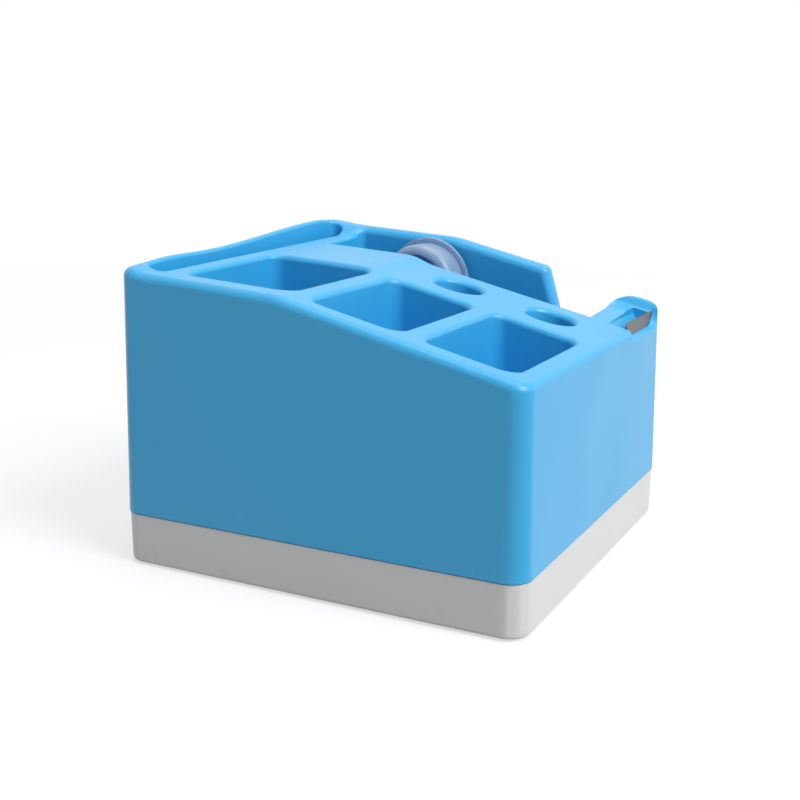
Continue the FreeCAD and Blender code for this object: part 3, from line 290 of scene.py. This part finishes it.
bladeSteelLook = {
    "dark": (0.13, 0.13, 0.135), "light": (0.22, 0.215, 0.22), "markAndBounceColour": (0.20, 0.13, 0.13),
    "roughness": 0.42, "glossier": 0.08, "duller": 0.10, "scale": 1500.0, "stretch": 0.03,
    "depth": 0.000015, "marksAndBounceLow": 0.058, "marksAndBounceHigh": 0.066, "marksAndBounceAmount": 0.8,
}
screwSteelLook = {
    "dark": (0.40, 0.40, 0.41), "light": (0.58, 0.58, 0.59), "markAndBounceColour": (0.2, 0.17, 0.15),
    "roughness": 0.35, "glossier": 0.08, "duller": 0.10, "scale": 900.0, "stretch": 1.0,
    "depth": 0.00001, "marksAndBounceLow": 0.0, "marksAndBounceHigh": 0.01, "marksAndBounceAmount": 0.1,
}
bladeSteel = steelFinish("bladeSteel", bladeSteelLook)
screwSteel = steelFinish("screwSteel", screwSteelLook)


def roughFinish(name, look):
    # rubber or bare cast iron: dull, with a coarse grain and a little dust
    finish, tree, shader = newFinish(name, {
        "Roughness": look["roughness"], "Specular IOR Level": look["specular"]})
    grain = useGroup(tree, mouldGrain, {
        "Grain Size": look["grainSize"], "Wave Size": look["waveSize"], "Wave Share": look["waveShare"]})
    tones = mixColours(tree, look["colour"], look["dustColour"], grain.outputs["Mottle"])
    tree.links.new(tones, shader.inputs["Base Color"])
    addBump(tree, shader, grain.outputs["Height"], look["grainDepth"])
    return finish


rubberLook = {
    "colour": (0.02, 0.02, 0.02), "dustColour": (0.05, 0.05, 0.05), "roughness": 0.7, "specular": 0.3,
    "grainSize": 0.0004, "waveSize": 0.004, "waveShare": 0.6, "grainDepth": 0.00004,
}
ironLook = {
    **rubberLook,
    "colour": (0.05, 0.05, 0.052), "dustColour": (0.09, 0.085, 0.08), "roughness": 0.6,
}
footRubber = roughFinish("footRubber", rubberLook)
ballastIron = roughFinish("ballastIron", ironLook)
print("finishes made")


# pieces that stand for the moulded parts

shading = {"smoothAngle": 32.0, "flatTilt": 0.00003, "flatArea": 0.000003}


def flatRegions(shape):
    # for each face the number of its flat region, and for each region its area
    tilt = 1.0 - shading["flatTilt"]
    region = [-1] * len(shape.faces)
    areas = []
    for first in shape.faces:
        if region[first.index] >= 0:
            continue
        number = len(areas)
        areas.append(0.0)
        region[first.index] = number
        waiting = [first]
        while waiting:
            face = waiting.pop()
            areas[number] += face.calc_area()
            for edge in face.edges:
                for other in edge.link_faces:
                    if region[other.index] < 0 and other.normal.dot(first.normal) > tilt:
                        region[other.index] = number
                        waiting.append(other)
    return region, areas


def evenShading(mesh):
    # Each corner takes the mean direction of the faces it joins smoothly. A large flat face among
    # them leads alone, so it stays even and the rounding beside it starts from it.
    shape = bmesh.new()
    shape.from_mesh(mesh)
    shape.faces.ensure_lookup_table()
    region, areas = flatRegions(shape)
    smoothLimit = math.cos(math.radians(shading["smoothAngle"]))
    normals = []
    for face in shape.faces:
        for corner in face.loops:
            near = [link for link in corner.vert.link_loops
                    if link.face.normal.dot(face.normal) > smoothLimit] or [corner]
            widest = max((region[link.face.index] for link in near), key=lambda number: areas[number])
            if areas[widest] > shading["flatArea"]:
                near = [link for link in near if region[link.face.index] == widest]
            total = Vector()
            for link in near:
                total += link.face.normal * link.calc_angle()
            normals.append(total.normalized() if total.length > 0.0 else face.normal.copy())
    shape.free()
    mesh.normals_split_custom_set(normals)


def slopingBar(name, section, startX, endX, fall):
    # a bar along X with a section in Y and Z, which sinks towards the front
    shape = bmesh.new()
    ends = [[shape.verts.new((x, y, z - fall * x)) for y, z in section] for x in (startX, endX)]
    for place in range(len(section)):
        following = (place + 1) % len(section)
        shape.faces.new((ends[0][place], ends[0][following], ends[1][following], ends[1][place]))
    shape.faces.new(ends[0])
    shape.faces.new(ends[1])
    bmesh.ops.recalc_face_normals(shape, faces=shape.faces)
    mesh = bpy.data.meshes.new(name)
    shape.to_mesh(mesh)
    shape.free()
    return addObject(name, mesh)


earSize = {
    "wallY": 0.0522, "crestY": 0.0550, "clearY": 0.0462,  # the rise, and the cut's near side
    "shoulder": 0.0780, "rise": 0.0030, "sky": 0.0855, "floor": 0.0716,  # heights, taken on to x = 0
    "slope": 0.2374, "earBackX": 0.0445, "troughBackX": 0.0513, "fillFrontX": 0.0571, "cutFrontX": 0.0610,
    "steps": 12, "fillSteps": 8,
}


def roundEar(mesh):
    # The ear beside the cutter rises softly from a low shoulder. The filler brings the trough's
    # far wall nearer, and the cut takes the ear down to the rise.
    size = earSize
    curve = []
    for step in range(size["steps"] + 1):
        share = step / size["steps"]
        climb = share * share * (3.0 - 2.0 * share)
        curve.append((size["wallY"] + (size["crestY"] - size["wallY"]) * share,
                      size["shoulder"] + size["rise"] * climb))
    above = curve + [(size["crestY"], size["sky"]), (size["clearY"], size["sky"]),
                     (size["clearY"], size["shoulder"])]
    below = curve[:size["fillSteps"] + 1]
    below += [(below[-1][0], size["floor"]), (size["wallY"], size["floor"])]
    filler = slopingBar("earFiller", below, size["troughBackX"], size["fillFrontX"], size["slope"])
    cutter = slopingBar("earCutter", above, size["earBackX"], size["cutFrontX"], size["slope"])
    holder = addObject("earHolder", mesh)
    for operation, tool in (("UNION", filler), ("DIFFERENCE", cutter)):
        change = holder.modifiers.new(operation, "BOOLEAN")
        change.operation = operation
        change.solver = "EXACT"
        change.object = tool
    shaped = bpy.data.meshes.new_from_object(holder.evaluated_get(bpy.context.evaluated_depsgraph_get()))
    for item in (holder, filler, cutter):
        bpy.data.objects.remove(item)
    return shaped


joining = {"nearPoints": 0.000002, "shortEdges": 0.0000005}


def smoothCopy(node, name, body, finish, reshape=None):
    # the node's own surface with its points joined, so that rounded parts shade smoothly
    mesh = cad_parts[node].data.copy()
    shape = bmesh.new()
    shape.from_mesh(mesh)
    bmesh.ops.remove_doubles(shape, verts=shape.verts, dist=joining["nearPoints"])
    bmesh.ops.dissolve_degenerate(shape, edges=shape.edges, dist=joining["shortEdges"])
    shape.to_mesh(mesh)
    shape.free()
    if reshape:
        mesh = reshape(mesh)
    mesh.name = name
    mesh.shade_smooth()
    evenShading(mesh)
    mesh.materials.clear()
    mesh.materials.append(finish)
    piece = addObject(name, mesh)
    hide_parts(node)
    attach(piece, body)


smoothCopy("body_shell", "organizerShell", "housing", shellPlastic, reshape=roundEar)
smoothCopy("drawer_tray", "trayBox", "drawer", trayPlastic)
smoothCopy("spool_hub", "tapeHub", "hub", hubPlastic)
smoothCopy("spool_axle", "hubAxle", "axle", axlePlastic)


def paintNode(node, finish):
    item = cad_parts[node]
    if not item.material_slots:
        item.data.materials.append(finish)
    for slot in item.material_slots:
        slot.material = finish


for node in ("base_plate", "runner_near", "runner_far"):
    paintNode(node, innerPlastic)
paintNode("ballast_block", ballastIron)
paintNode("cutter_blade", bladeSteel)
print("moulded parts finished")


# screws and feet, each set repeated on its four places

def newRepeat(name, inputs, makeOne):
    # a tree that sets one made piece on every point it is given
    tree = bpy.data.node_groups.new(name, "GeometryNodeTree")
    tree.interface.new_socket("Geometry", in_out="INPUT", socket_type="NodeSocketGeometry")
    for label, amount in inputs.items():
        entry = tree.interface.new_socket(label, in_out="INPUT", socket_type="NodeSocketFloat")
        entry.default_value = amount
    tree.interface.new_socket("Material", in_out="INPUT", socket_type="NodeSocketMaterial")
    tree.interface.new_socket("Geometry", in_out="OUTPUT", socket_type="NodeSocketGeometry")
    given = tree.nodes.new("NodeGroupInput")
    result = tree.nodes.new("NodeGroupOutput")
    one = makeOne(tree, given)
    spread = tree.nodes.new("GeometryNodeInstanceOnPoints")
    real = tree.nodes.new("GeometryNodeRealizeInstances")
    paint = tree.nodes.new("GeometryNodeSetMaterial")
    tree.links.new(given.outputs["Geometry"], spread.inputs["Points"])
    tree.links.new(one, spread.inputs["Instance"])
    tree.links.new(spread.outputs["Instances"], real.inputs["Geometry"])
    tree.links.new(real.outputs["Geometry"], paint.inputs["Geometry"])
    tree.links.new(given.outputs["Material"], paint.inputs["Material"])
    tree.links.new(paint.outputs["Geometry"], result.inputs["Geometry"])
    return tree


def shifted(tree, geometry, height):
    # the geometry, raised by a height that is a socket
    move = tree.nodes.new("GeometryNodeTransform")
    lift = tree.nodes.new("ShaderNodeCombineXYZ")
    tree.links.new(height, lift.inputs["Z"])
    tree.links.new(lift.outputs["Vector"], move.inputs["Translation"])
    tree.links.new(geometry, move.inputs["Geometry"])
    return move.outputs["Geometry"]


def roundBar(tree, radius, depth, sides, base):
    # an upright cylinder whose foot stands at a height
    bar = addNode(tree, "GeometryNodeMeshCylinder", values={"Vertices": sides})
    tree.links.new(radius, bar.inputs["Radius"])
    tree.links.new(depth, bar.inputs["Depth"])
    middle = mathNode(tree, "MULTIPLY_ADD", depth, 0.5, base)
    return shifted(tree, bar.outputs["Mesh"], middle)


def makeScrew(tree, given):
    # a round head with a cross-shaped recess, and a shank above it
    headSides, shankSides = 40, 24
    head = roundBar(tree, given.outputs["Head Radius"], given.outputs["Head Height"], headSides, 0.0)
    cutter = tree.nodes.new("GeometryNodeMeshBoolean")
    cutter.operation = "DIFFERENCE"
    tree.links.new(head, cutter.inputs["Mesh 1"])
    for long, short in (("X", "Y"), ("Y", "X")):
        size = tree.nodes.new("ShaderNodeCombineXYZ")
        bar = tree.nodes.new("GeometryNodeMeshCube")
        tree.links.new(given.outputs["Recess Length"], size.inputs[long])
        tree.links.new(given.outputs["Recess Width"], size.inputs[short])
        tree.links.new(mathNode(tree, "MULTIPLY", given.outputs["Recess Depth"], 2.0), size.inputs["Z"])
        tree.links.new(size.outputs["Vector"], bar.inputs["Size"])
        tree.links.new(bar.outputs["Mesh"], cutter.inputs["Mesh 2"])
    shankLength = mathNode(tree, "SUBTRACT", given.outputs["Length"], given.outputs["Head Height"])
    shank = roundBar(
        tree, given.outputs["Shank Radius"], shankLength, shankSides, given.outputs["Head Height"])
    whole = tree.nodes.new("GeometryNodeJoinGeometry")
    tree.links.new(cutter.outputs["Mesh"], whole.inputs["Geometry"])
    tree.links.new(shank, whole.inputs["Geometry"])
    return whole.outputs["Geometry"]


def makeFoot(tree, given):
    # a rubber disc that stands on two raised rings
    sides, ringSides = 48, 10
    ringHeight = given.outputs["Ring Height"]
    discDepth = mathNode(tree, "SUBTRACT", given.outputs["Thickness"], ringHeight)
    whole = tree.nodes.new("GeometryNodeJoinGeometry")
    disc = roundBar(tree, given.outputs["Radius"], discDepth, sides, ringHeight)
    tree.links.new(disc, whole.inputs["Geometry"])
    section = addNode(tree, "GeometryNodeCurvePrimitiveCircle", values={"Resolution": ringSides})
    tree.links.new(ringHeight, section.inputs["Radius"])
    for label in ("Inner Ring", "Outer Ring"):
        path = addNode(tree, "GeometryNodeCurvePrimitiveCircle", values={"Resolution": sides})
        ring = tree.nodes.new("GeometryNodeCurveToMesh")
        ringRadius = mathNode(tree, "MULTIPLY", given.outputs["Radius"], given.outputs[label])
        tree.links.new(ringRadius, path.inputs["Radius"])
        tree.links.new(path.outputs["Curve"], ring.inputs["Curve"])
        tree.links.new(section.outputs["Curve"], ring.inputs["Profile Curve"])
        tree.links.new(shifted(tree, ring.outputs["Mesh"], ringHeight), whole.inputs["Geometry"])
    return whole.outputs["Geometry"]


def repeatPiece(name, nodes, body, finish, sizes, makeOne):
    # one piece on the foot of each of the nodes, as a plain mesh that stands for them all
    places = []
    for node in nodes:
        low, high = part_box(node)
        places.append(((low[0] + high[0]) / 2, (low[1] + high[1]) / 2, low[2]))
    mesh = bpy.data.meshes.new(name + "Places")
    mesh.from_pydata(places, [], [])
    maker = addObject(name + "Maker", mesh)
    tree = newRepeat(name + "Set", sizes, makeOne)
    repeat = maker.modifiers.new(name, "NODES")
    repeat.node_group = tree
    for entry in tree.interface.items_tree:
        if entry.name in sizes:
            repeat[entry.identifier] = sizes[entry.name]
        elif entry.name == "Material":
            repeat[entry.identifier] = finish
    made = bpy.data.meshes.new_from_object(maker.evaluated_get(bpy.context.evaluated_depsgraph_get()))
    bpy.data.objects.remove(maker)
    made.name = name
    made.shade_smooth()
    evenShading(made)
    piece = addObject(name, made)
    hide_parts(*nodes)
    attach(piece, body)


screwSize = {"Head Radius": 0.0028, "Head Height": 0.0013, "Length": 0.0100, "Shank Radius": 0.0015,
             "Recess Length": 0.0032, "Recess Width": 0.0007, "Recess Depth": 0.0008}
footSize = {"Radius": 0.0050, "Thickness": 0.0016, "Ring Height": 0.00025,
            "Inner Ring": 0.45, "Outer Ring": 0.82}  # the rings as shares of the radius
repeatPiece("baseScrews", [f"base_screw_{number}" for number in range(1, 5)], "housing",
            screwSteel, screwSize, makeScrew)
repeatPiece("rubberFeet", [f"foot_{number}" for number in range(1, 5)], "drawer",
            footRubber, footSize, makeFoot)
print("screws and feet made")


# floor, light and camera

def seenWhite(tree):
    # one where a surface is seen, directly or in a reflection or through something clear
    path = addNode(tree, "ShaderNodeLightPath")
    seen = mathNode(tree, "MAXIMUM", path.outputs["Is Camera Ray"], path.outputs["Is Glossy Ray"])
    return mathNode(tree, "MAXIMUM", seen, path.outputs["Is Transmission Ray"])


def makeFloor():
    # The floor is lifted to white where it is seen, and still takes the shadow. It thins out
    # with distance, so that it has no edge against the white round it.
    size = {"half": 1.2, "solid": 0.30, "clear": 0.85, "colour": 0.40, "lift": 0.62, "roughness": 0.9}
    mesh = bpy.data.meshes.new("floor")
    corners = [(-size["half"], -size["half"], 0.0), (size["half"], -size["half"], 0.0),
               (size["half"], size["half"], 0.0), (-size["half"], size["half"], 0.0)]
    mesh.from_pydata(corners, [], [(0, 1, 2, 3)])
    finish, tree, shader = newFinish("floorPaper", {
        "Roughness": size["roughness"], "Specular IOR Level": 0.0,
        "Base Color": (size["colour"], size["colour"], size["colour"], 1.0),
        "Emission Color": (1.0, 1.0, 1.0, 1.0),
    })
    lift = mathNode(tree, "MULTIPLY", seenWhite(tree), size["lift"])
    tree.links.new(lift, shader.inputs["Emission Strength"])
    place = addNode(tree, "ShaderNodeTexCoord")
    reach = addNode(tree, "ShaderNodeVectorMath", {"operation": "LENGTH"})
    fade = addNode(tree, "ShaderNodeMapRange", {"interpolation_type": "SMOOTHSTEP"}, {
        "From Min": size["solid"], "From Max": size["clear"], "To Min": 1.0, "To Max": 0.0})
    tree.links.new(place.outputs["Object"], reach.inputs[0])
    tree.links.new(reach.outputs["Value"], fade.inputs["Value"])
    tree.links.new(fade.outputs["Result"], shader.inputs["Alpha"])
    mesh.materials.append(finish)
    addObject("floor", mesh)


def makeWorld():
    # white where it is seen, and a lower fill light on the object
    level = {"seen": 1.0, "fill": 0.35}
    world = bpy.data.worlds.new("studio")
    bpy.context.scene.world = world
    world.use_nodes = True
    tree = world.node_tree
    ground = tree.nodes["Background"]
    ground.inputs["Color"].default_value = (1.0, 1.0, 1.0, 1.0)
    strength = mathNode(tree, "MULTIPLY_ADD", seenWhite(tree), level["seen"] - level["fill"], level["fill"])
    tree.links.new(strength, ground.inputs["Strength"])


lamps = {
    "keyLamp": {"place": (1.30, -0.22, 1.20), "target": (0.0, 0.0, 0.04), "size": 0.9, "power": 23.0},
    "topLamp": {"place": (0.1, 0.1, 1.6), "target": (0.0, 0.0, 0.05), "size": 1.2, "power": 9.0},
}


def addLamp(name, look):
    light = bpy.data.lights.new(name, "AREA")
    light.shape = "SQUARE"
    light.size = look["size"]
    light.energy = look["power"]
    lamp = addObject(name, light)
    aim = Vector(look["target"]) - Vector(look["place"])
    turn = aim.to_track_quat("-Z", "Y").to_matrix().to_4x4()
    lamp.matrix_world = Matrix.Translation(look["place"]) @ turn


makeFloor()
makeWorld()
for name, look in lamps.items():
    addLamp(name, look)


def makeCamera():
    view = {
        "place": (0.150094, -0.299814, 0.120334),
        "forward": (-0.44168, 0.86738, -0.22928),
        "roll": 0.0064,
        "focalShare": 1169.9 / 800.0,  # focal length over the picture's width
        "sensor": 36.0,
        "nearClip": 0.01,
    }
    camera = bpy.data.cameras.new("camera")
    camera.sensor_fit = "HORIZONTAL"
    camera.sensor_width = view["sensor"]
    camera.lens = view["sensor"] * view["focalShare"]
    camera.clip_start = view["nearClip"]
    item = addObject("camera", camera)
    ahead = Vector(view["forward"]).normalized()
    side = ahead.cross(Vector((0.0, 0.0, 1.0))).normalized()
    up = side.cross(ahead)
    turned = math.cos(view["roll"]) * side + math.sin(view["roll"]) * up
    upright = -math.sin(view["roll"]) * side + math.cos(view["roll"]) * up
    matrix = Matrix((turned, upright, -ahead)).transposed().to_4x4()
    item.matrix_world = Matrix.Translation(view["place"]) @ matrix
    bpy.context.scene.camera = item


makeCamera()
bpy.context.scene.view_settings.view_transform = "Standard"
print("stage set")
